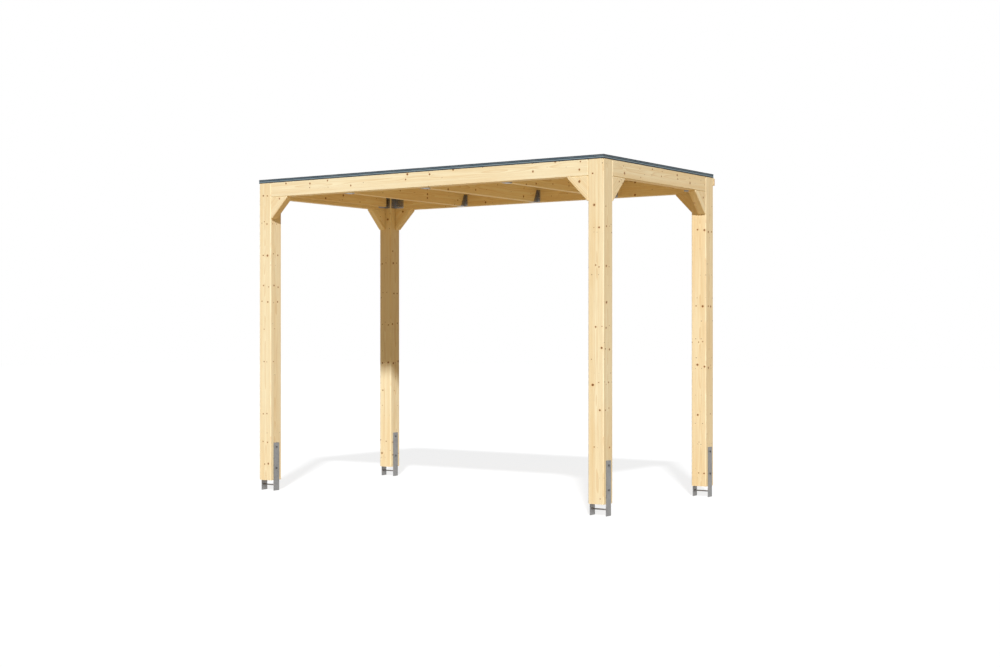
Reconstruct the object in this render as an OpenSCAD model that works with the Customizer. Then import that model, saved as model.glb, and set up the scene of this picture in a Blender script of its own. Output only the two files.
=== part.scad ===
// Garden pavilion: an open timber frame on steel post anchors, with a flat boarded roof.
// Millimetres, +Z up, X along the long side, front at -Y.
// The origin is on the ground, in the middle of the whole footprint.

/* [Frame] */
// Length over the outer faces of the posts
length = 3100; // [2400:10:4000]
// Depth over the outer faces of the posts
depth = 1600; // [1300:10:2400]
// Length of each post
post_h = 2305; // [1900:10:2900]
// Side of the square posts
post_w = 120; // [100:1:160]
// Bevel along the long edges of the posts
post_bevel = 6; // [2:0.5:8]

/* [Beams and rafters] */
// Thickness of the beams between the posts
beam_t = 60; // [40:1:80]
// Height of the beams
beam_h = 120; // [100:1:200]
// Thickness of the rafters
rafter_t = 45; // [35:1:80]
// Height of the rafters
rafter_h = 120; // [90:1:160]
// Bevel along the edges of beams, rafters, gussets and battens
beam_bevel = 4; // [1:0.5:6]

/* [Gussets] */
// Leg of each triangular corner gusset
gusset_leg = 165; // [100:5:300]
// Width of a gusset's blunt tips
gusset_tip = 10; // [8:1:30]

/* [Battens] */
// Thickness of the battens inside the side beams
side_batten_t = 30; // [20:1:50]
// Height of the battens inside the side beams
side_batten_h = 94; // [60:1:100]
// Gap between the ends of those battens and the posts
side_batten_gap = 20; // [5:1:60]
// Thickness of the batten along the back
back_batten_t = 28; // [18:1:50]
// Height of the batten along the back
back_batten_h = 56; // [40:1:100]

/* [Roof] */
// Thickness of the roof boards
deck_t = 16; // [12:1:28]
// Thickness of the roof membrane
membrane_t = 1.5; // [1:0.5:4]
// Thickness of the metal edge trim
trim_t = 1.5; // [1:0.5:3]
// Height of the trim's face
trim_face = 28; // [20:1:80]
// Width of the trim's flange on the roof
trim_flange = 50; // [30:1:120]

/* [Post anchors] */
// Width of the anchors' flat bars
bar_w = 60; // [40:1:80]
// Thickness of the anchors' flat bars
bar_t = 5; // [4:0.5:10]
// How far the bars reach below the posts
bar_below = 80; // [50:5:200]
// How far the bars reach up the posts
bar_above = 290; // [150:5:400]
// Height of the lower screw above the post's foot
low_screw_z = 93; // [40:1:120]
// Height of the upper screw above the post's foot
high_screw_z = 257; // [130:1:280]
// Diameter of the cross rod
rod_d = 10; // [8:1:16]
// Depth of the rod's centre below the post's foot
rod_drop = 38; // [15:1:60]

/* [Screws] */
// Diameter of the screws' shanks
screw_d = 8; // [6:1:10]
// Length of a screw under its head
screw_l = 45; // [30:1:50]
// Width of a screw's head across the flats
screw_af = 13; // [10:1:17]
// Height of a screw's head
screw_head_h = 5.5; // [4:0.5:8]
// Clearance round a screw in its holes
screw_gap = 0.25; // [0.1:0.05:1]

/* [Sheet steel connectors] */
// Thickness of the sheet
sheet_t = 2; // [1.5:0.5:3]
// Length of a hanger's seat under the rafter
seat_l = 60; // [40:1:90]
// Length of a hanger's cheeks at the top
cheek_top_l = 18; // [10:1:40]
// Height of a hanger's cheeks
cheek_h = 96; // [60:1:110]
// Width of a hanger's wings on the beam
wing_w = 22; // [20:1:45]
// Height of the corner brackets
bracket_h = 90; // [60:1:100]
// Length of a bracket's leg on the beam
bracket_leg = 90; // [60:1:120]
// Clearance between a side batten and the bracket leg that it covers
bracket_gap = 0.5; // [0.3:0.1:2]

/* [Hidden] */
side_x = length / 2;
clear_x = side_x - post_w;
overall_y = trim_t + depth + back_batten_t;
front_y = -overall_y / 2 + trim_t;
back_y = front_y + depth;
mid_y = (front_y + back_y) / 2;
foot_z = bar_below;
top_z = foot_z + post_h;
beam_z = top_z - beam_h;
rafter_z = top_z - rafter_h;
beam_l = length - 2 * post_w;
side_beam_l = depth - 2 * post_w;
rafter_l = depth - 2 * beam_t;
rafter_gap = beam_l / 4;
side_batten_l = side_beam_l - 2 * side_batten_gap;
deck_z = top_z + deck_t;
roof_z = deck_z + membrane_t;
ledge = post_w - beam_t - post_bevel;
bracket_z = beam_z + (beam_h - bracket_h) / 2;
screw_r = screw_d / 2;
hole_r = screw_r + screw_gap;
screw_zs = [foot_z + low_screw_z, foot_z + high_screw_z];
eps = 1;
spruce = [0.93, 0.84, 0.63];
spruce_inside = [0.80, 0.66, 0.44];
zinc = [0.60, 0.62, 0.62];
zinc_dark = [0.32, 0.34, 0.35];
anthracite = [0.28, 0.33, 0.36];
slate = [0.30, 0.31, 0.32];

// Rectangle with bevelled corners, one corner at the origin
module bevelled(w, h, c) {
  polygon([[c, 0], [w - c, 0], [w, c], [w, h - c], [w - c, h], [c, h], [0, h - c], [0, c]]);
}

// Timber along +X, width along +Y, height along +Z, bevelled along every edge
module timber(l, w, h) {
  intersection() {
    rotate([90, 0, 90]) linear_extrude(l) bevelled(w, h, beam_bevel);
    linear_extrude(h) bevelled(l, w, beam_bevel);
    translate([0, w, 0]) rotate([90, 0, 0]) linear_extrude(w) bevelled(l, h, beam_bevel);
  }
}

// Places a child at both ends of the long side's middle plane, mirrored
module at_side(right) {
  mirror([right ? 1 : 0, 0, 0]) children();
}

// Places a child at the front or, mirrored about the frame's middle, at the back
module at_end(back) {
  translate([0, back ? 2 * mid_y : 0, 0]) mirror([0, back ? 1 : 0, 0]) children();
}

// Round hole or shank along X
module along_x(r, l) {
  rotate([0, 90, 0]) cylinder(h = l, r = r, $fn = 32);
}

// Post at the front left corner, with pilot holes for the anchor's screws
module post() {
  color(spruce) difference() {
    translate([-side_x, front_y, foot_z]) linear_extrude(post_h) bevelled(post_w, post_w, post_bevel);
    for (z = screw_zs) {
      translate([-side_x - eps, front_y + post_w / 2, z]) along_x(hole_r, screw_l - bar_t + 2 * eps);
      translate([-clear_x - screw_l + bar_t - eps, front_y + post_w / 2, z]) {
        along_x(hole_r, screw_l - bar_t + 2 * eps);
      }
    }
  }
}

// Beam between the two front posts, flush with their outer faces
module long_beam() {
  color(spruce) translate([-clear_x, front_y, beam_z]) timber(beam_l, beam_t, beam_h);
}

// Beam between the two left posts, flush with their outer faces
module side_beam() {
  color(spruce) translate([-side_x + beam_t, front_y + post_w, beam_z]) {
    rotate([0, 0, 90]) timber(side_beam_l, beam_t, beam_h);
  }
}

// Outline of a gusset, square corner at the origin, with its two tips cut blunt
module gusset_outline() {
  leg = gusset_leg;
  tip = gusset_tip;
  polygon([[0, 0], [0, -leg], [tip, -leg], [leg, -tip], [leg, 0]]);
}

// Right-angled gusset: square corner at the origin, legs along +X and -Z, thickness along +Y
module gusset() {
  translate([0, beam_t, 0]) rotate([90, 0, 0]) hull() {
    translate([0, 0, beam_bevel]) linear_extrude(beam_t - 2 * beam_bevel) gusset_outline();
    linear_extrude(beam_t) offset(delta = -beam_bevel) gusset_outline();
  }
}

// Gusset under the front beam at the front left post
module long_gusset() {
  color(spruce) translate([-clear_x, front_y, beam_z]) gusset();
}

// Gusset under the left beam at the front left post
module side_gusset() {
  color(spruce) translate([-side_x + beam_t, front_y + post_w, beam_z]) rotate([0, 0, 90]) gusset();
}

// Rafter between the front and back beams, centred on x
module rafter(x) {
  color(spruce_inside) translate([x + rafter_t / 2, front_y + beam_t, rafter_z]) {
    rotate([0, 0, 90]) timber(rafter_l, rafter_t, rafter_h);
  }
}

// Batten on the left beam's inner face, relieved at both ends over the corner brackets
module side_batten() {
  relief_l = bracket_leg - side_batten_gap + bracket_gap;
  relief_h = bracket_h + 2 * bracket_gap;
  color(spruce_inside) translate([-side_x + beam_t, front_y + post_w + side_batten_gap, top_z - side_batten_h]) {
    difference() {
      translate([side_batten_t, 0, 0]) rotate([0, 0, 90]) timber(side_batten_l, side_batten_t, side_batten_h);
      for (y = [-eps, side_batten_l - relief_l]) {
        translate([-eps, y, bracket_z - bracket_gap - top_z + side_batten_h]) {
          cube([sheet_t + bracket_gap + eps, relief_l + eps, relief_h]);
        }
      }
    }
  }
}

// Batten on the back beam's outer face, just under the trim
module back_batten() {
  color(spruce) translate([-side_x, back_y, roof_z + trim_t - trim_face - back_batten_h - bracket_gap]) {
    timber(length, back_batten_t, back_batten_h);
  }
}

// Boarded deck over the whole frame
module roof_deck() {
  color(spruce_inside) translate([-side_x, front_y, top_z]) cube([length, depth, deck_t]);
}

// Sheet membrane on the deck
module roof_membrane() {
  color(slate) translate([-side_x, front_y, deck_z]) cube([length, depth, membrane_t]);
}

// Angle trim along one edge of the roof, mitred at both ends; edge along +X, roof towards +Y
module trim(l) {
  out = trim_t;
  in = trim_flange;
  color(anthracite) intersection() {
    union() {
      translate([-out, -out, roof_z + trim_t - trim_face]) cube([l + 2 * out, trim_t, trim_face]);
      translate([-out, -out, roof_z]) cube([l + 2 * out, out + in, trim_t]);
    }
    translate([0, 0, roof_z - trim_face]) linear_extrude(trim_face + 2 * trim_t) {
      polygon([[-out, -out], [l + out, -out], [l - in, in], [in, in]]);
    }
  }
}

// Trim along the front edge
module long_trim() {
  translate([-side_x, front_y, 0]) trim(length);
}

// Trim along the left edge
module side_trim() {
  translate([-side_x, back_y, 0]) rotate([0, 0, -90]) trim(depth);
}

// Two flat bars joined by a rod, gripping the front left post
module anchor() {
  bar_h = bar_below + bar_above;
  bar_y = front_y + (post_w - bar_w) / 2;
  color(zinc) difference() {
    union() {
      for (x = [-side_x - bar_t, -clear_x]) {
        translate([x, bar_y, 0]) cube([bar_t, bar_w, bar_h]);
      }
      translate([-side_x - bar_t / 2, front_y + post_w / 2, foot_z - rod_drop]) along_x(rod_d / 2, post_w + bar_t);
    }
    for (z = screw_zs, x = [-side_x - bar_t - eps, -clear_x - eps]) {
      translate([x, front_y + post_w / 2, z]) along_x(hole_r, bar_t + 2 * eps);
    }
  }
}

// Hexagon-headed screw along +X, with its head's seat at the origin
module screw() {
  along_x(screw_r, screw_l);
  translate([-screw_head_h, 0, 0]) rotate([0, 90, 0]) cylinder(h = screw_head_h, r = screw_af / sqrt(3), $fn = 6);
}

// The four screws of the front left anchor
module anchor_screws() {
  color(zinc_dark) for (z = screw_zs) {
    translate([-side_x - bar_t, front_y + post_w / 2, z]) screw();
    translate([-clear_x + bar_t, front_y + post_w / 2, z]) mirror([1, 0, 0]) screw();
  }
}

// Joist hanger on the front beam's inner face, round the end of the rafter at x
module hanger(x) {
  half = rafter_t / 2;
  translate([x, front_y + beam_t, rafter_z]) {
    translate([-half - sheet_t, 0, -sheet_t]) cube([rafter_t + 2 * sheet_t, seat_l, sheet_t]);
    for (side = [0, 1]) mirror([side, 0, 0]) {
      translate([half, 0, 0]) rotate([90, 0, 90]) linear_extrude(sheet_t) {
        polygon([[0, -sheet_t], [seat_l, -sheet_t], [seat_l, 0], [cheek_top_l, cheek_h], [0, cheek_h]]);
      }
      translate([half, 0, 0]) cube([wing_w + sheet_t, sheet_t, cheek_h]);
    }
  }
}

// Hangers of the three rafters on the front beam
module hangers() {
  color(zinc) for (i = [-1:1]) hanger(i * rafter_gap);
}

// Angle bracket in the corner between a post's face and a beam's inner face.
// Corner line at the origin, beam leg along +X, post leg along +Y.
module bracket() {
  cube([bracket_leg, sheet_t, bracket_h]);
  cube([sheet_t, ledge, bracket_h]);
}

// The two brackets at the front left post
module brackets() {
  color(zinc) {
    translate([-clear_x, front_y + beam_t, bracket_z]) bracket();
    translate([-side_x + beam_t, front_y + post_w, bracket_z]) mirror([1, -1, 0]) bracket();
  }
}

post();  // post_front_left
at_side(true) post();  // post_front_right
at_end(true) post();  // post_back_left
at_end(true) at_side(true) post();  // post_back_right
long_beam();  // beam_front
at_end(true) long_beam();  // beam_back
side_beam();  // beam_left
at_side(true) side_beam();  // beam_right
long_gusset();  // gusset_front_left
at_side(true) long_gusset();  // gusset_front_right
at_end(true) long_gusset();  // gusset_back_left
at_end(true) at_side(true) long_gusset();  // gusset_back_right
side_gusset();  // gusset_left_front
at_end(true) side_gusset();  // gusset_left_back
at_side(true) side_gusset();  // gusset_right_front
at_end(true) at_side(true) side_gusset();  // gusset_right_back
rafter(-rafter_gap);  // rafter_left
rafter(0);  // rafter_middle
rafter(rafter_gap);  // rafter_right
side_batten();  // batten_left
at_side(true) side_batten();  // batten_right
back_batten();  // batten_back
roof_deck();
roof_membrane();
long_trim();  // trim_front
at_end(true) long_trim();  // trim_back
side_trim();  // trim_left
at_side(true) side_trim();  // trim_right
anchor();  // anchor_front_left
at_side(true) anchor();  // anchor_front_right
at_end(true) anchor();  // anchor_back_left
at_end(true) at_side(true) anchor();  // anchor_back_right
anchor_screws();  // screws_front_left
at_side(true) anchor_screws();  // screws_front_right
at_end(true) anchor_screws();  // screws_back_left
at_end(true) at_side(true) anchor_screws();  // screws_back_right
hangers();  // hangers_front
at_end(true) hangers();  // hangers_back
brackets();  // brackets_front_left
at_side(true) brackets();  // brackets_front_right
at_end(true) brackets();  // brackets_back_left
at_end(true) at_side(true) brackets();  // brackets_back_right
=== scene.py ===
"""Looks of the garden pavilion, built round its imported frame. Metres, in the frame's own axes."""
import math
import random

import bmesh
import bpy
from mathutils import Matrix, Vector


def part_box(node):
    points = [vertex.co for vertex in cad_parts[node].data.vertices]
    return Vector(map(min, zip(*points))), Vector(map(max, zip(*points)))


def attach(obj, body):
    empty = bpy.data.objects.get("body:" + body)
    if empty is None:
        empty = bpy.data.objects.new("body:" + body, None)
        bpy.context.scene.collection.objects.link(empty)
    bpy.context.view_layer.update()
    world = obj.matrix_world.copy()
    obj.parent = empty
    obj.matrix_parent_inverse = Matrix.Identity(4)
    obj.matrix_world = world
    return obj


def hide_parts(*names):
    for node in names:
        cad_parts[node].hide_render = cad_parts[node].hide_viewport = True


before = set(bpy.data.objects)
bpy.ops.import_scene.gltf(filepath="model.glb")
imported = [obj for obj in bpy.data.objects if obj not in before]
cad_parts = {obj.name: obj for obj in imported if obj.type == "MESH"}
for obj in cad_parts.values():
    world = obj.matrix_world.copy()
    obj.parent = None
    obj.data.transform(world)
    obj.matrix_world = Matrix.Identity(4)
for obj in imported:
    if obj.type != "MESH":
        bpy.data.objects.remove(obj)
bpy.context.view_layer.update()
deck_low, deck_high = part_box("roof_deck")

MM = 0.001
MERGE = 0.01 * MM
UP = Vector((0, 0, 1))
X_AXIS = Vector((1, 0, 0))
Y_AXIS = Vector((0, 1, 0))
ENDS = ("front", "back")
SIDES = ("left", "right")

# Timbers: the pith strays a little inside a post, and lies beside the wide face of a thinner timber
TIMBERS = ("post", "beam", "gusset", "rafter", "batten")
TIMBER_SEED = 11
PITH_STRAY = 15 * MM
PITH_ASIDE = 45 * MM

# Roof
BOARD_COUNT = 16
FELT_LAP = 100 * MM
FELT_RAMP = 12 * MM

# Anchors: how far the rod lies below the post, the screws and the weld beads
ROD_DROP = 38 * MM
SCREW_HEIGHTS = (93 * MM, 257 * MM)
SCREW_LENGTH = 45 * MM
SCREW_RADIUS = 4 * MM
SCREW_TIP = 2.8 * MM
SCREW_HEAD = 5.5 * MM
SCREW_FLATS = 13 * MM
SCREW_COLLAR = 0.8 * MM
SCREW_CHAMFER = 0.9 * MM
BEAD_RADIUS = 9 * MM
BEAD_HEIGHT = 4 * MM
BEAD_ROUNDING = 3 * MM
BEAD_WAVER = 0.25 * MM
ANCHOR_SEED = 5

# Hangers and brackets: the sheet, the nails and the open nail holes
SHEET = 2 * MM
SHEET_ROUNDING = 0.5 * MM
NAIL_RADIUS = 4 * MM
NAIL_HEAD = 1.3 * MM
NAIL_CHAMFER = 0.5 * MM
HOLE_RADIUS = 4 * MM

# Nail places in millimetres: rows are heights, and cheek places are (out from the beam, height)
WING_ASIDE = 14
WING_ROWS = (16, 36, 56, 76)
CHEEK_PLACES = ((12, 82), (16, 58), (26, 34), (44, 13))
BRACKET_ROWS = (15, 35, 55, 75)


# ---------------------------------------------------------------- camera and stage

def set_camera():
    """Level camera 1.2 m up, off the front right corner."""
    data = bpy.data.cameras.new("camera")
    data.sensor_width = 36
    data.lens = 55.63
    camera = bpy.data.objects.new("camera", data)
    camera.location = (6.7915, -9.6241, 1.2142)
    camera.rotation_euler = (math.radians(90), 0, math.radians(34.58))
    bpy.context.scene.collection.objects.link(camera)
    bpy.context.scene.camera = camera


def add_sun(name, along, strength, softness, colour):
    """Sun lamp shining along a direction; softness is its width in degrees."""
    data = bpy.data.lights.new(name, "SUN")
    data.energy = strength
    data.angle = math.radians(softness)
    data.color = colour
    lamp = bpy.data.objects.new(name, data)
    lamp.rotation_euler = Vector(along).to_track_quat("-Z", "Y").to_euler()
    bpy.context.scene.collection.objects.link(lamp)


class Tree:
    """Adds and links the shader nodes of one node tree."""

    def __init__(self, node_tree):
        self.nodes = node_tree.nodes
        self.links = node_tree.links

    def feed(self, socket, value):
        """Links a socket to the input, or sets the input to a plain value."""
        if isinstance(value, bpy.types.NodeSocket):
            self.links.new(value, socket)
        else:
            socket.default_value = value

    def add(self, kind, inputs=None, **settings):
        """Adds a shader node, with its settings and its inputs."""
        node = self.nodes.new("ShaderNode" + kind)
        for key, value in settings.items():
            setattr(node, key, value)
        for key, value in (inputs or {}).items():
            self.feed(node.inputs[key], value)
        return node

    def maths(self, operation, *values, clamp=False):
        node = self.add("Math", operation=operation, use_clamp=clamp)
        for socket, value in zip(node.inputs, values):
            self.feed(socket, value)
        return node.outputs[0]

    def vector(self, operation, *values):
        """Vector maths; a length or a dot product comes back as a number."""
        node = self.add("VectorMath", operation=operation)
        for socket, value in zip(node.inputs, values):
            self.feed(socket, value)
        return node.outputs[1] if operation in ("LENGTH", "DOT_PRODUCT") else node.outputs[0]

    def combine(self, x, y, z):
        return self.add("CombineXYZ", {"X": x, "Y": y, "Z": z}).outputs[0]

    def split(self, value):
        return list(self.add("SeparateXYZ", {"Vector": value}).outputs)

    def noise(self, place, stretch, detail=2.0):
        """Noise from 0 to 1, with its own scale along each axis."""
        scaled = self.vector("MULTIPLY", place, stretch)
        return self.add("TexNoise", {"Vector": scaled, "Scale": 1.0, "Detail": detail}).outputs[0]

    def smooth(self, value, low, high, start=0.0, end=1.0):
        inputs = {"Value": value, "From Min": low, "From Max": high, "To Min": start, "To Max": end}
        return self.add("MapRange", inputs, interpolation_type="SMOOTHSTEP").outputs[0]

    def mix(self, share, first, second):
        node = self.add("Mix", data_type="RGBA")
        self.feed(node.inputs[0], share)
        self.feed(node.inputs[6], first)
        self.feed(node.inputs[7], second)
        return node.outputs[2]

    def ramp(self, value, stops):
        """Colour along a value, from (position, colour) stops."""
        node = self.add("ValToRGB", {"Fac": value})
        elements = node.color_ramp.elements
        while len(elements) < len(stops):
            elements.new(1.0)
        for element, (position, colour) in zip(elements, stops):
            element.position = position
            element.color = colour
        return node.outputs[0]

    def bump(self, height, depth, strength=1.0):
        return self.add("Bump", {"Height": height, "Distance": depth, "Strength": strength}).outputs[0]


def paint(red, green, blue):
    """Linear colour from the 0 to 255 values of a paint card."""
    return tuple((v / 255) ** 2.2 for v in (red, green, blue)) + (1.0,)


def grey(value):
    return (value, value, value, 1.0)


def seen_directly(tree):
    """1 for rays from the camera, and through or off glossy surfaces, else 0."""
    path = tree.add("LightPath").outputs
    seen = tree.maths("ADD", path["Is Camera Ray"], path["Is Glossy Ray"])
    return tree.maths("ADD", seen, path["Is Transmission Ray"], clamp=True)


def set_world():
    """White behind the object, and low soft light from all round."""
    world = bpy.data.worlds.new("studio")
    world.use_nodes = True
    bpy.context.scene.world = world
    tree = Tree(world.node_tree)
    tree.nodes.clear()
    soft = tree.add("Background", {"Color": (0.94, 0.97, 1.0, 1.0), "Strength": 0.16})
    white = tree.add("Background", {"Color": grey(1.0), "Strength": 1.0})
    choice = tree.add("MixShader", {0: seen_directly(tree), 1: soft.outputs[0], 2: white.outputs[0]})
    tree.add("OutputWorld", {"Surface": choice.outputs[0]})


def add_floor():
    """Pale floor that shows white, keeps the shadow, sends warm light up and is clear from below."""
    half_width = 40
    bm = bmesh.new()
    bmesh.ops.create_grid(bm, x_segments=1, y_segments=1, size=half_width)
    mesh = bpy.data.meshes.new("floor")
    bm.to_mesh(mesh)
    bm.free()
    floor = bpy.data.objects.new("floor", mesh)
    bpy.context.scene.collection.objects.link(floor)
    material = bpy.data.materials.new("pale_floor")
    material.use_nodes = True
    tree = Tree(material.node_tree)
    tree.nodes.clear()
    warm = tree.add("BsdfDiffuse", {"Color": (0.56, 0.385, 0.17, 1.0)})
    pale = tree.add("BsdfDiffuse", {"Color": grey(0.22)})
    glow = tree.add("Emission", {"Color": grey(1.0), "Strength": 0.80})
    shown = tree.add("AddShader", {0: pale.outputs[0], 1: glow.outputs[0]})
    choice = tree.add("MixShader", {0: seen_directly(tree), 1: warm.outputs[0], 2: shown.outputs[0]})
    below = tree.add("NewGeometry").outputs["Backfacing"]
    clear = tree.add("BsdfTransparent", {"Color": grey(1.0)})
    choice = tree.add("MixShader", {0: below, 1: choice.outputs[0], 2: clear.outputs[0]})
    tree.add("OutputMaterial", {"Surface": choice.outputs[0]})
    mesh.materials.append(material)


# ---------------------------------------------------------------- finishes

def new_finish(name, **plain):
    """Material with its shader; plain values go on the shader's own sockets."""
    material = bpy.data.materials.new(name)
    material.use_nodes = True
    shader = material.node_tree.nodes["Principled BSDF"]
    for key, value in plain.items():
        shader.inputs[key.replace("_", " ")].default_value = value
    return material, Tree(material.node_tree), shader.inputs


def knot_distance(tree, radius, turn, height, seed, spacing, sectors, size, share):
    """Distance from the nearest knot, in knot radii. Knots sit in whorls round the pith."""
    up = tree.maths("ADD", tree.maths("DIVIDE", height, spacing), seed)
    level = tree.maths("FLOOR", up)
    around = tree.maths("MULTIPLY", turn, sectors)
    sector = tree.maths("FLOOR", around)
    whorl = tree.add("TexWhiteNoise", {"Vector": tree.combine(level, 0.5, seed)}).outputs[1]
    place, crowd = tree.split(whorl)[:2]
    own = tree.add("TexWhiteNoise", {"Vector": tree.combine(level, sector, seed)}).outputs[1]
    drift, girth, chance = tree.split(own)
    middle = tree.maths("MULTIPLY_ADD", place, 0.6, 0.14)
    middle = tree.maths("MULTIPLY_ADD", chance, 0.12, middle)
    rise = tree.maths("MULTIPLY", tree.maths("SUBTRACT", tree.maths("FRACT", up), middle), spacing)
    aside = tree.maths("MULTIPLY_ADD", drift, 0.5, 0.25)
    aside = tree.maths("SUBTRACT", tree.maths("FRACT", around), aside)
    run = tree.maths("MULTIPLY", tree.maths("MULTIPLY", aside, math.tau / sectors), radius)
    away = tree.vector("LENGTH", tree.combine(rise, run, 0.0))
    girth = tree.maths("MULTIPLY", tree.maths("ADD", girth, 0.5), size)
    limit = tree.maths("MULTIPLY_ADD", crowd, 0.9, share - 0.45)
    out_of_sight = 20.0
    missing = tree.maths("MULTIPLY", tree.maths("GREATER_THAN", chance, limit), out_of_sight)
    return tree.maths("ADD", tree.maths("DIVIDE", away, girth), missing)


def make_spruce():
    """Planed spruce as a node group. Place has the grain along Z and the pith on the Z axis."""
    year = 3.4 * MM
    knot_push = 9 * MM
    group = bpy.data.node_groups.new("planed_spruce", "ShaderNodeTree")
    for label, kind in (("Place", "Vector"), ("Grain", "Vector"), ("Seed", "Float"), ("Tone", "Float")):
        group.interface.new_socket(name=label, in_out="INPUT", socket_type="NodeSocket" + kind)
    for label, kind in (("Color", "Color"), ("Roughness", "Float"), ("Normal", "Vector")):
        group.interface.new_socket(name=label, in_out="OUTPUT", socket_type="NodeSocket" + kind)
    tree = Tree(group)
    given = group.nodes.new("NodeGroupInput").outputs
    seed = given["Seed"]
    salted = tree.vector("ADD", given["Place"], tree.combine(seed, seed, tree.maths("MULTIPLY", seed, 3.1)))

    # The stem is never quite straight, so the rings wander along the timber
    bend = tree.add("TexNoise", {"Vector": tree.vector("MULTIPLY", salted, (2.5, 2.5, 0.9)), "Scale": 1.0})
    bend = tree.vector("SUBTRACT", bend.outputs[1], (0.5, 0.5, 0.5))
    stem = tree.vector("ADD", given["Place"], tree.vector("MULTIPLY", bend, (0.045, 0.045, 0.0)))
    x, y, z = tree.split(stem)
    radius = tree.vector("LENGTH", tree.vector("MULTIPLY", stem, (1.0, 1.0, 0.0)))
    turn = tree.maths("MULTIPLY_ADD", tree.maths("ARCTAN2", y, x), 1 / math.tau, 0.5)
    knot = knot_distance(tree, radius, turn, z, seed, spacing=0.20, sectors=8, size=4.8 * MM, share=0.62)
    pin_seed = tree.maths("ADD", seed, 7.3)
    pin = knot_distance(tree, radius, turn, z, pin_seed, spacing=0.09, sectors=9, size=2.3 * MM, share=0.24)

    # Growth rings, pushed round the knots, with a dark late band in each year
    push = tree.maths("DIVIDE", knot_push, tree.maths("MULTIPLY_ADD", knot, knot, 1.0))
    years = tree.maths("DIVIDE", tree.maths("ADD", radius, push), year)
    years = tree.maths("ADD", years, tree.maths("MULTIPLY", tree.noise(salted, (16, 16, 0.6)), 3.0))
    late = tree.maths("POWER", tree.maths("FRACT", years), 2.5)

    fibre = tree.noise(salted, (520, 520, 8), 3.0)
    streak = tree.noise(salted, (42, 42, 0.7), 3.0)
    cloud = tree.noise(salted, (3.5, 3.5, 1.3))
    warmth = tree.maths("MULTIPLY_ADD", tree.maths("SUBTRACT", streak, 0.5), 1.5, given["Tone"])
    warmth = tree.maths("MULTIPLY_ADD", tree.maths("SUBTRACT", cloud, 0.5), 0.9, warmth, clamp=True)
    colour = tree.mix(warmth, paint(239, 229, 196), paint(225, 199, 151))
    colour = tree.mix(tree.maths("MULTIPLY", late, 0.42), colour, paint(202, 162, 104))
    colour = tree.mix(tree.smooth(fibre, 0.52, 0.8, 0.0, 0.35), colour, paint(190, 150, 98))
    colour = tree.mix(tree.smooth(fibre, 0.25, 0.45, 0.25, 0.0), colour, paint(246, 234, 206))

    # Knots: a warm halo, a brown body with its own rings, and a dark rim
    halo = tree.smooth(knot, 0.9, 2.4, 0.45, 0.0)
    colour = tree.mix(halo, colour, paint(206, 160, 100))
    rings = tree.maths("FRACT", tree.maths("MULTIPLY", knot, 3.5))
    body = tree.mix(tree.maths("MULTIPLY", rings, 0.5), paint(146, 96, 52), paint(108, 66, 34))
    body = tree.mix(tree.smooth(knot, 0.7, 0.95), body, paint(76, 46, 24))
    core = tree.smooth(knot, 0.95, 1.12, 1.0, 0.0)
    colour = tree.mix(core, colour, body)
    dot = tree.smooth(pin, 0.7, 1.3, 1.0, 0.0)
    colour = tree.mix(tree.maths("MULTIPLY", dot, 0.85), colour, paint(108, 70, 38))

    # Sawn ends are darker, and so is the late wood in them
    facing = tree.vector("DOT_PRODUCT", tree.add("NewGeometry").outputs["Normal"], given["Grain"])
    sawn = tree.smooth(tree.maths("ABSOLUTE", facing), 0.85, 0.97)
    end_wood = tree.mix(late, paint(222, 184, 126), paint(178, 130, 74))
    colour = tree.mix(tree.maths("MULTIPLY", sawn, 0.7), colour, end_wood)

    rough = tree.maths("MULTIPLY_ADD", fibre, 0.22, 0.50)
    rough = tree.maths("MULTIPLY_ADD", core, -0.14, rough)
    rough = tree.maths("MULTIPLY_ADD", sawn, 0.15, rough)
    height = tree.maths("MULTIPLY_ADD", late, 0.30, tree.maths("MULTIPLY", fibre, 0.55))
    height = tree.maths("MULTIPLY_ADD", core, 0.9, height)
    height = tree.maths("MULTIPLY_ADD", dot, 0.4, height)
    out = group.nodes.new("NodeGroupOutput").inputs
    tree.feed(out["Color"], colour)
    tree.feed(out["Roughness"], rough)
    tree.feed(out["Normal"], tree.bump(height, 0.35 * MM, 0.8))
    return group


def add_spruce(tree, shader, place, grain, seed, tone):
    """Joins the spruce group to a shader."""
    wood = tree.add("Group", node_tree=spruce)
    for label, value in (("Place", place), ("Grain", grain), ("Seed", seed), ("Tone", tone)):
        tree.feed(wood.inputs[label], value)
    tree.feed(shader["Base Color"], wood.outputs["Color"])
    tree.feed(shader["Roughness"], wood.outputs["Roughness"])
    tree.feed(shader["Normal"], wood.outputs["Normal"])


def timber_finish(name, grain, pith, seed, tone):
    """Spruce for one timber: grain along a direction, with the pith through a point."""
    material, tree, shader = new_finish(name, Specular_IOR_Level=0.3)
    turn = grain.rotation_difference(UP)
    shift = UP * seed - turn @ pith
    place = tree.add("TexCoord").outputs["Object"]
    inputs = {"Vector": place, "Rotation": turn.to_euler(), "Location": shift}
    place = tree.add("Mapping", inputs).outputs[0]
    add_spruce(tree, shader, place, grain, seed, tone)
    return material


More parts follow.
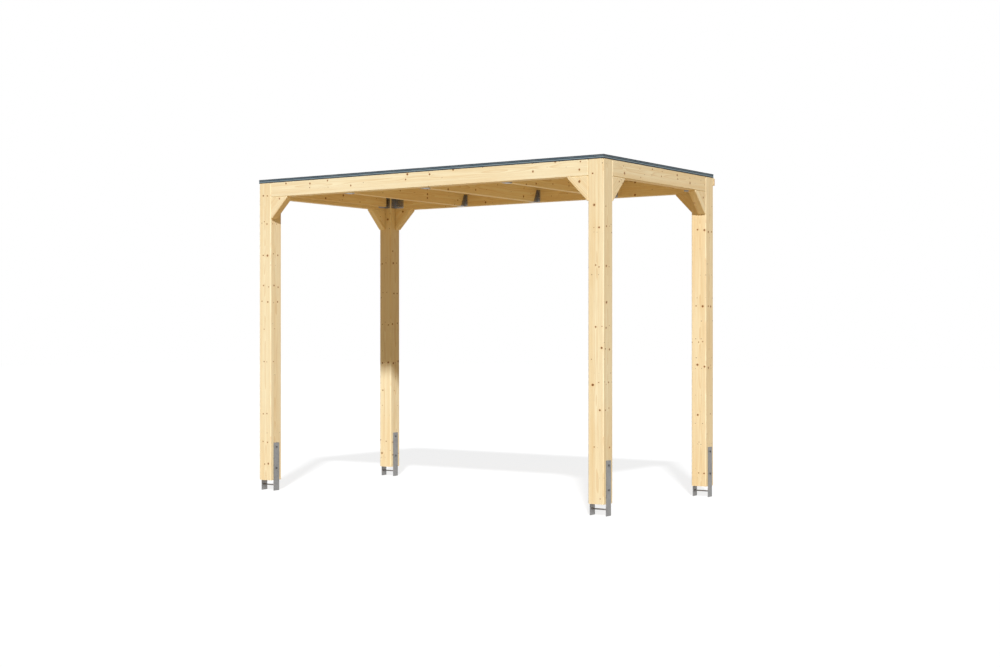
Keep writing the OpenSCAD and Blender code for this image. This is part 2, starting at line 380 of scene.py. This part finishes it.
def board_finish():
    """Spruce for the roof boards: each board is its own plank, cut beside the pith."""
    pith_above = 60 * MM
    material, tree, shader = new_finish("roof_board_spruce", Specular_IOR_Level=0.3)
    x, y, z = tree.split(tree.add("TexCoord").outputs["Object"])
    board = tree.add("Attribute", attribute_name="board").outputs["Fac"]
    depth = tree.maths("SUBTRACT", deck_low.z + pith_above, z)
    along = tree.maths("MULTIPLY_ADD", board, 31.7, x)
    place = tree.combine(depth, tree.maths("SUBTRACT", y, board), along)
    tone = tree.maths("FRACT", tree.maths("MULTIPLY", board, 23.7))
    add_spruce(tree, shader, place, X_AXIS, 4.6, tree.maths("MULTIPLY_ADD", tone, 0.5, 0.2))
    return material


def zinc_finish(name, dark, light, spangle, metal, dullness):
    """Zinc on steel: crystal spangle, cloudy patches and fine grain."""
    material, tree, shader = new_finish(name, Metallic=metal)
    place = tree.add("TexCoord").outputs["Object"]
    cells = tree.add("TexVoronoi", {"Vector": place, "Scale": spangle}).outputs["Color"]
    crystal = tree.split(cells)[0]
    cloud = tree.noise(place, (11, 11, 7), 5.0)
    stain = tree.noise(place, (60, 60, 22), 4.0)
    shade = tree.maths("MULTIPLY_ADD", crystal, 0.30, tree.maths("MULTIPLY", cloud, 0.55))
    shade = tree.maths("MULTIPLY_ADD", stain, 0.35, shade, clamp=True)
    tree.feed(shader["Base Color"], tree.mix(shade, dark, light))
    rough = tree.maths("MULTIPLY_ADD", stain, 0.20, dullness)
    tree.feed(shader["Roughness"], tree.maths("MULTIPLY_ADD", crystal, 0.10, rough))
    grain = tree.noise(place, (900, 900, 900), 2.0)
    height = tree.maths("MULTIPLY_ADD", cloud, 0.6, tree.maths("MULTIPLY", grain, 0.25))
    tree.feed(shader["Normal"], tree.bump(height, 0.3 * MM, 0.6))
    return material


def trim_finish():
    """Anthracite coat on the edge trim, with paler bands, and painted shade in the folds and along the top
    and bottom lips.
    """
    material, tree, shader = new_finish("anthracite_coat", Specular_IOR_Level=0.25)
    place = tree.add("TexCoord").outputs["Object"]
    height = tree.split(place)[2]
    low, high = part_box("trim_front")
    share = tree.maths("DIVIDE", tree.maths("SUBTRACT", height, low.z), high.z - low.z)
    # The dark stops are painted shade in the crease and at the top and bottom lips; the dark specks take
    # the same colour
    painted_shade_and_speck = paint(36, 45, 54)
    upper = paint(80, 96, 108)
    lower = paint(116, 136, 148)
    stops = [
        (0.00, painted_shade_and_speck), (0.19, painted_shade_and_speck), (0.25, lower), (0.43, lower), (0.50, painted_shade_and_speck),
        (0.58, painted_shade_and_speck), (0.64, upper), (0.79, upper), (0.86, painted_shade_and_speck), (1.00, painted_shade_and_speck),
    ]
    colour = tree.ramp(share, stops)
    dust = tree.noise(place, (7, 7, 60), 5.0)
    colour = tree.mix(tree.smooth(dust, 0.45, 0.75, 0.0, 0.22), colour, paint(150, 158, 160))
    speck = tree.noise(place, (420, 420, 420), 2.0)
    colour = tree.mix(tree.smooth(speck, 0.6, 0.8, 0.0, 0.25), colour, painted_shade_and_speck)
    tree.feed(shader["Base Color"], colour)
    tree.feed(shader["Roughness"], tree.maths("MULTIPLY_ADD", dust, 0.25, 0.50))
    tree.feed(shader["Normal"], tree.bump(speck, 0.08 * MM, 0.5))
    return material


def felt_finish():
    """Slate grey mineral felt: coarse grit with paler and darker grains."""
    material, tree, shader = new_finish("mineral_felt", Specular_IOR_Level=0.25)
    place = tree.add("TexCoord").outputs["Object"]
    grit = tree.add("TexVoronoi", {"Vector": place, "Scale": 520.0})
    grain = tree.split(grit.outputs["Color"])[0]
    cloud = tree.noise(place, (3, 3, 3), 5.0)
    colour = tree.mix(grain, paint(52, 56, 60), paint(104, 108, 112))
    colour = tree.mix(tree.smooth(cloud, 0.4, 0.7, 0.0, 0.4), colour, paint(84, 84, 80))
    tree.feed(shader["Base Color"], colour)
    tree.feed(shader["Roughness"], tree.maths("MULTIPLY_ADD", cloud, 0.1, 0.82))
    ripple = tree.maths("MULTIPLY", tree.noise(place, (9, 1.5, 1), 2.0), 3.0)
    height = tree.maths("MULTIPLY_ADD", grit.outputs["Distance"], -1.0, ripple)
    tree.feed(shader["Normal"], tree.bump(height, 0.6 * MM, 0.7))
    return material


# ---------------------------------------------------------------- mesh tools

def add_piece(name, bm, finish, replaces=(), smooth_under=None):
    """Turns a bmesh into a finished piece that rides on the frame."""
    bmesh.ops.recalc_face_normals(bm, faces=bm.faces)
    if smooth_under is not None:
        for face in bm.faces:
            face.smooth = True
        for edge in bm.edges:
            edge.smooth = edge.calc_face_angle(math.pi) < math.radians(smooth_under)
    mesh = bpy.data.meshes.new(name)
    bm.to_mesh(mesh)
    bm.free()
    mesh.materials.append(finish)
    piece = bpy.data.objects.new(name, mesh)
    bpy.context.scene.collection.objects.link(piece)
    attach(piece, "root")
    if replaces:
        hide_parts(*replaces)
    return piece


def copy_of(node):
    """A CAD node's mesh as one welded bmesh with whole faces."""
    bm = bmesh.new()
    bm.from_mesh(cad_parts[node].data)
    bmesh.ops.remove_doubles(bm, verts=bm.verts, dist=MERGE)
    bmesh.ops.dissolve_limit(bm, angle_limit=math.radians(1), verts=bm.verts, edges=bm.edges)
    return bm


def soften(bm):
    """Rounds every sharp edge of a sheet."""
    sharp = [e for e in bm.edges if e.calc_face_angle(0) > math.radians(30)]
    bmesh.ops.bevel(
        bm, geom=sharp, offset=SHEET_ROUNDING, segments=2, affect="EDGES", profile=0.5, material=-1,
        clamp_overlap=True,
    )


def frame_at(point, out):
    """Placement with its Z axis along out."""
    return Matrix.Translation(point) @ UP.rotation_difference(out).to_matrix().to_4x4()


def add_disc(bm, point, out, radius, height, top_radius=None, segments=12):
    """Short round bar or cone with its foot at a point, standing along out."""
    top = radius if top_radius is None else top_radius
    made = bmesh.ops.create_cone(
        bm, cap_ends=True, cap_tris=False, segments=segments, radius1=radius, radius2=top, depth=height,
        matrix=frame_at(point + out * height / 2, out),
    )
    return made["verts"]


def cut_holes(bm, holes):
    """The bmesh with round holes cut through it; holes are (point, axis)."""
    reach = 3 * SHEET
    drills = bmesh.new()
    for point, axis in holes:
        add_disc(drills, point - axis * reach / 2, axis, HOLE_RADIUS, reach, segments=10)
    bodies = []
    for solid in (bm, drills):
        mesh = bpy.data.meshes.new("solid")
        solid.to_mesh(mesh)
        solid.free()
        bodies.append(bpy.data.objects.new("solid", mesh))
        bpy.context.scene.collection.objects.link(bodies[-1])
    plate, cutter = bodies
    cut = plate.modifiers.new("holes", "BOOLEAN")
    cut.operation = "DIFFERENCE"
    cut.solver = "EXACT"
    cut.object = cutter
    bpy.context.view_layer.update()
    shaped = plate.evaluated_get(bpy.context.evaluated_depsgraph_get())
    result = bmesh.new()
    result.from_mesh(shaped.to_mesh())
    for body in bodies:
        mesh = body.data
        bpy.data.objects.remove(body)
        bpy.data.meshes.remove(mesh)
    return result


def add_bar(bm, outline, start, length):
    """Bar along X from a start point, with an outline of (across, up) points."""
    foot = [bm.verts.new(start + Vector((0, across, up))) for across, up in outline]
    grown = bmesh.ops.extrude_face_region(bm, geom=[bm.faces.new(foot)])["geom"]
    far = [v for v in grown if isinstance(v, bmesh.types.BMVert)]
    bmesh.ops.translate(bm, vec=X_AXIS * length, verts=far)
    return foot + far


def chamfer_top(bm, verts, seat, out, tall, width, segments=1):
    """Chamfers the outer rim of a disc that stands on a seat, or rounds it with more segments."""
    top = {v for v in verts if (v.co - seat).dot(out) > tall / 2}
    rim = list({e for v in top for e in v.link_edges if e.other_vert(v) in top})
    bmesh.ops.bevel(bm, geom=rim, offset=width, segments=segments, affect="EDGES", profile=0.5, material=-1)


def add_nail(bm, point, out):
    """Flat round nail head with a chamfered rim."""
    head = add_disc(bm, point, out, NAIL_RADIUS, NAIL_HEAD)
    chamfer_top(bm, head, point, out, NAIL_HEAD, NAIL_CHAMFER)


# ---------------------------------------------------------------- timbers

def grain_of(node):
    """Direction of a timber's grain: its long axis, or a gusset's sloping edge."""
    low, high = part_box(node)
    size = high - low
    if not node.startswith("gusset"):
        long_side = max(range(3), key=lambda i: size[i])
        return (X_AXIS, Y_AXIS, UP)[long_side]
    run = 0 if size.x > size.y else 1
    slope = UP.copy()
    slope[run] = 1.0 if (low + high)[run] < 0 else -1.0
    return slope.normalized()


def pith_of(node, draw):
    """A point on the pith: inside a post, and well outside the wide face of a thinner timber."""
    low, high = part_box(node)
    size = high - low
    pith = (low + high) / 2 + Vector([draw.uniform(-PITH_STRAY, PITH_STRAY) for _ in range(3)])
    if not node.startswith("post"):
        thin = min(range(3), key=lambda i: size[i])
        pith[thin] += draw.choice((-1, 1)) * (size[thin] / 2 + PITH_ASIDE)
    return pith


def finish_timbers():
    """Every timber keeps its CAD shape and gets spruce of its own."""
    names = sorted(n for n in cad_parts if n.split("_")[0] in TIMBERS)
    for number, name in enumerate(names):
        draw = random.Random(number + TIMBER_SEED)
        seed = round(draw.uniform(1, 40), 2)
        tone = draw.uniform(0.22, 0.55)
        finish = timber_finish(f"spruce_{name}", grain_of(name), pith_of(name, draw), seed, tone)
        set_finish(name, finish)


def set_finish(node, finish):
    """Puts a finish on a CAD node that stays in view."""
    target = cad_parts[node]
    if not target.material_slots:
        target.data.materials.append(finish)
    for material_slot in target.material_slots:
        material_slot.material = finish


# ---------------------------------------------------------------- roof

def add_roof_boards():
    """Tongue and groove boards along the roof, with a V joint below."""
    pitch = (deck_high.y - deck_low.y) / BOARD_COUNT
    thick = deck_high.z - deck_low.z
    gap = 0.3 * MM
    vee = 3 * MM
    tongue = (6.2 * MM, 10.0 * MM, 6 * MM)
    groove = (5.8 * MM, 10.4 * MM, 7 * MM)
    bm = bmesh.new()
    mark = bm.verts.layers.float.new("board")
    for number in range(BOARD_COUNT):
        right = pitch - gap
        outline = [(gap, vee), (gap + vee, 0), (right - vee, 0), (right, vee)]
        if number < BOARD_COUNT - 1:
            low, high, reach = tongue
            outline += [(right, low), (right + reach, low), (right + reach, high), (right, high)]
        outline += [(right, thick), (gap, thick)]
        if number > 0:
            low, high, reach = groove
            outline += [(gap, high), (gap + reach, high), (gap + reach, low), (gap, low)]
        start = Vector((deck_low.x, deck_low.y + number * pitch, deck_low.z))
        for vert in add_bar(bm, outline, start, deck_high.x - deck_low.x):
            vert[mark] = start.y + pitch / 2
    add_piece("roof_boards", bm, board_finish(), ["roof_deck"])


def add_roof_felt():
    """Two strips of felt along the roof; the back one laps over the front one."""
    low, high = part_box("roof_membrane")
    thick = (high.z - low.z) / 2
    half = (high.y - low.y + FELT_LAP) / 2
    front = [(0, 0), (half, 0), (half, thick), (0, thick)]
    step = [(0, thick), (FELT_LAP, thick), (FELT_LAP + FELT_RAMP, 0), (half, 0)]
    back = step + [(across, up + thick) for across, up in reversed(step)]
    bm = bmesh.new()
    for outline, y in ((front, low.y), (back, high.y - half)):
        add_bar(bm, outline, Vector((low.x, y, low.z)), high.x - low.x)
    add_piece("roof_felt", bm, felt_finish(), ["roof_membrane"])


def add_trims():
    """Folded edge trim: flange, top bead, crease and drip edge, mitred at the corners."""
    low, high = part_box("trim_front")
    face = high.z - low.z
    flange = 50 * MM
    flange_low = face - 1.5 * MM
    flange_high = face - 0.7 * MM
    # Outer side from the top down, as (out, up) in millimetres on a face drawn 28 high
    drawn_height = 28
    outer = [
        (0.6, 28.0), (1.5, 27.3), (1.5, 25.0), (0.5, 24.2), (0.9, 23.4), (1.3, 16.4),
        (0.4, 15.4), (0.4, 14.4), (1.3, 13.4), (1.1, 4.2), (0.4, 3.4), (0.4, 2.6),
        (1.5, 1.9), (1.5, 0.4), (1.1, 0.0), (0.3, 0.0),
    ]
    scale = face / drawn_height
    outline = [(-flange, flange_low), (-flange, flange_high), (-3 * MM, flange_high), (-2 * MM, face)]
    outline += [(out * MM, up * scale) for out, up in outer]
    outline += [(0, 0.5 * MM), (0, flange_low)]
    finish = trim_finish()
    middle = Vector((0, (deck_low.y + deck_high.y) / 2, low.z))
    half_x = deck_high.x
    half_y = (deck_high.y - deck_low.y) / 2
    # Edges as (name, half its length, distance from the middle, turn in degrees)
    edges = (
        ("front", half_x, half_y, 0), ("right", half_y, half_x, 90),
        ("back", half_x, half_y, 180), ("left", half_y, half_x, 270),
    )
    for edge, half, away, turn in edges:
        bm = bmesh.new()
        foot = [bm.verts.new((-half - out, -away - out, up)) for out, up in outline]
        grown = bmesh.ops.extrude_face_region(bm, geom=[bm.faces.new(foot)])["geom"]
        far = [v for v in grown if isinstance(v, bmesh.types.BMVert)]
        bmesh.ops.scale(bm, vec=(-1, 1, 1), verts=far)
        place = Matrix.Translation(middle) @ Matrix.Rotation(math.radians(turn), 4, "Z")
        bmesh.ops.transform(bm, matrix=place, verts=bm.verts)
        add_piece(f"edge_trim_{edge}", bm, finish, [f"trim_{edge}"])


# ---------------------------------------------------------------- steel

def add_anchor_details():
    """Hexagon-headed screws in the anchors, and a weld bead at each end of the rods."""
    draw = random.Random(ANCHOR_SEED)
    screw_zinc = zinc_finish("screw_zinc", grey(0.05), grey(0.17), spangle=700.0, metal=0.75, dullness=0.32)
    weld_zinc = zinc_finish("weld_zinc", grey(0.20), grey(0.38), spangle=300.0, metal=0.8, dullness=0.38)
    welds = bmesh.new()
    for end in ENDS:
        for side in SIDES:
            corner = f"{end}_{side}"
            post_low, post_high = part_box(f"post_{corner}")
            bars_low, bars_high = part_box(f"anchor_{corner}")
            middle = (post_low + post_high) / 2
            bm = bmesh.new()
            for x, out in ((bars_low.x, -X_AXIS), (bars_high.x, X_AXIS)):
                for rise in SCREW_HEIGHTS:
                    add_screw(bm, Vector((x, middle.y, post_low.z + rise)), out, draw)
            add_piece(f"hex_screws_{corner}", bm, screw_zinc, [f"screws_{corner}"], 30)
            for x, out in ((post_low.x, X_AXIS), (post_high.x, -X_AXIS)):
                add_weld(welds, Vector((x, middle.y, post_low.z - ROD_DROP)), out, draw)
    add_piece("anchor_welds", welds, weld_zinc, smooth_under=60)


def add_screw(bm, seat, out, draw):
    """Screw with a chamfered hexagon head on a thin collar; the shank runs into the post."""
    tall = SCREW_HEAD - SCREW_COLLAR
    add_disc(bm, seat, out, SCREW_FLATS / 2, SCREW_COLLAR, segments=24)
    foot = seat + out * SCREW_COLLAR
    head = add_disc(bm, foot, out, SCREW_FLATS / math.sqrt(3), tall, segments=6)
    spin = Matrix.Rotation(draw.uniform(0, math.tau), 4, out)
    bmesh.ops.transform(bm, matrix=spin, space=Matrix.Translation(-seat), verts=head)
    chamfer_top(bm, head, foot, out, tall, SCREW_CHAMFER, 2)
    add_disc(bm, seat, -out, SCREW_RADIUS, SCREW_LENGTH, SCREW_TIP)


def add_weld(bm, point, out, draw):
    """Uneven rounded bead of weld round the rod where it meets a bar."""
    others = set(bm.verts)
    bead = add_disc(bm, point, out, BEAD_RADIUS, BEAD_HEIGHT, segments=28)
    chamfer_top(bm, bead, point, out, BEAD_HEIGHT, BEAD_ROUNDING, 4)
    for vert in bm.verts:
        if vert not in others:
            vert.co += (vert.co - point).normalized() * draw.uniform(-BEAD_WAVER, BEAD_WAVER)


def add_hangers(sheet, nail):
    """Joist hangers in softened sheet steel, with nails and some open nail holes."""
    for end, inward in (("front", 1), ("back", -1)):
        beam_low, beam_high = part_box(f"beam_{end}")
        face = beam_high.y if end == "front" else beam_low.y
        holes = []
        nails = bmesh.new()
        for rafter in ("left", "middle", "right"):
            low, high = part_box(f"rafter_{rafter}")
            middle = (low + high) / 2
            for way in (-1, 1):
                cheek = middle.x + way * (high.x - low.x) / 2
                for number, rise in enumerate(WING_ROWS):
                    aside = way * WING_ASIDE * MM
                    at = Vector((cheek + aside, face + inward * SHEET, low.z + rise * MM))
                    axis = Y_AXIS * inward
                    if number == 1:
                        holes.append((at, axis))
                    else:
                        add_nail(nails, at, axis)
                for number, (reach, rise) in enumerate(CHEEK_PLACES):
                    at = Vector((cheek + way * SHEET, face + inward * reach * MM, low.z + rise * MM))
                    axis = X_AXIS * way
                    if number % 2:
                        holes.append((at, axis))
                    else:
                        add_nail(nails, at, axis)
        bm = copy_of(f"hangers_{end}")
        soften(bm)
        add_piece(f"joist_hangers_{end}", cut_holes(bm, holes), sheet, [f"hangers_{end}"], 40)
        add_piece(f"hanger_nails_{end}", nails, nail, smooth_under=30)


def add_brackets(sheet, nail):
    """Angle brackets in the corners between posts and beams, with nails and open holes in turn."""
    for end in ENDS:
        for side in SIDES:
            corner = f"{end}_{side}"
            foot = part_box(f"brackets_{corner}")[0].z
            post_low, post_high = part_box(f"post_{corner}")
            long_low, long_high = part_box(f"beam_{end}")
            side_low, side_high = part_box(f"beam_{side}")
            way_x = 1 if side == "left" else -1
            way_y = 1 if end == "front" else -1
            post_x = post_high.x if way_x > 0 else post_low.x
            post_y = post_high.y if way_y > 0 else post_low.y
            beam_y = long_high.y if way_y > 0 else long_low.y
            beam_x = side_high.x if way_x > 0 else side_low.x
            long_corner = Vector((post_x, beam_y, foot))
            side_corner = Vector((beam_x, post_y, foot))
            inward_x = X_AXIS * way_x
            inward_y = Y_AXIS * way_y
            # Plates as (corner, direction along the plate, direction out of its face, nail columns)
            plates = (
                (long_corner, inward_x, inward_y, (18, 38, 58, 78)),
                (long_corner, inward_y, inward_x, (18, 38)),
                (side_corner, inward_y, inward_x, (18,)),
                (side_corner, inward_x, inward_y, (18, 38)),
            )
            holes = []
            nails = bmesh.new()
            for start, along, out, columns in plates:
                for number, column in enumerate(columns):
                    for row_number, row in enumerate(BRACKET_ROWS):
                        at = start + along * column * MM + out * SHEET + UP * row * MM
                        if (number + row_number) % 2:
                            holes.append((at, out))
                        else:
                            add_nail(nails, at, out)
            bm = copy_of(f"brackets_{corner}")
            soften(bm)
            bracket = cut_holes(bm, holes)
            add_piece(f"angle_brackets_{corner}", bracket, sheet, [f"brackets_{corner}"], 40)
            add_piece(f"bracket_nails_{corner}", nails, nail, smooth_under=30)


def finish_anchors():
    """The anchors keep their CAD shape and get dull hot-dip zinc."""
    dull = zinc_finish("hot_dip_zinc", grey(0.18), grey(0.37), spangle=75.0, metal=0.8, dullness=0.36)
    for end in ENDS:
        for side in SIDES:
            set_finish(f"anchor_{end}_{side}", dull)


bpy.context.scene.view_settings.view_transform = "Standard"
set_camera()
set_world()
add_sun("key", along=(-0.658, 1.0, -0.921), strength=3.85, softness=3.0, colour=(0.985, 1.0, 1.02))
add_sun("fill", along=(0.6, -0.75, -0.45), strength=1.2, softness=60.0, colour=(1.0, 0.99, 0.97))
add_floor()

spruce = make_spruce()
finish_timbers()
finish_anchors()
add_roof_boards()
add_roof_felt()
add_trims()
add_anchor_details()
sheet_zinc = zinc_finish("sheet_zinc", grey(0.20), grey(0.40), spangle=150.0, metal=0.9, dullness=0.22)
nail_zinc = zinc_finish("nail_zinc", grey(0.24), grey(0.48), spangle=500.0, metal=0.85, dullness=0.28)
add_hangers(sheet_zinc, nail_zinc)
add_brackets(sheet_zinc, nail_zinc)
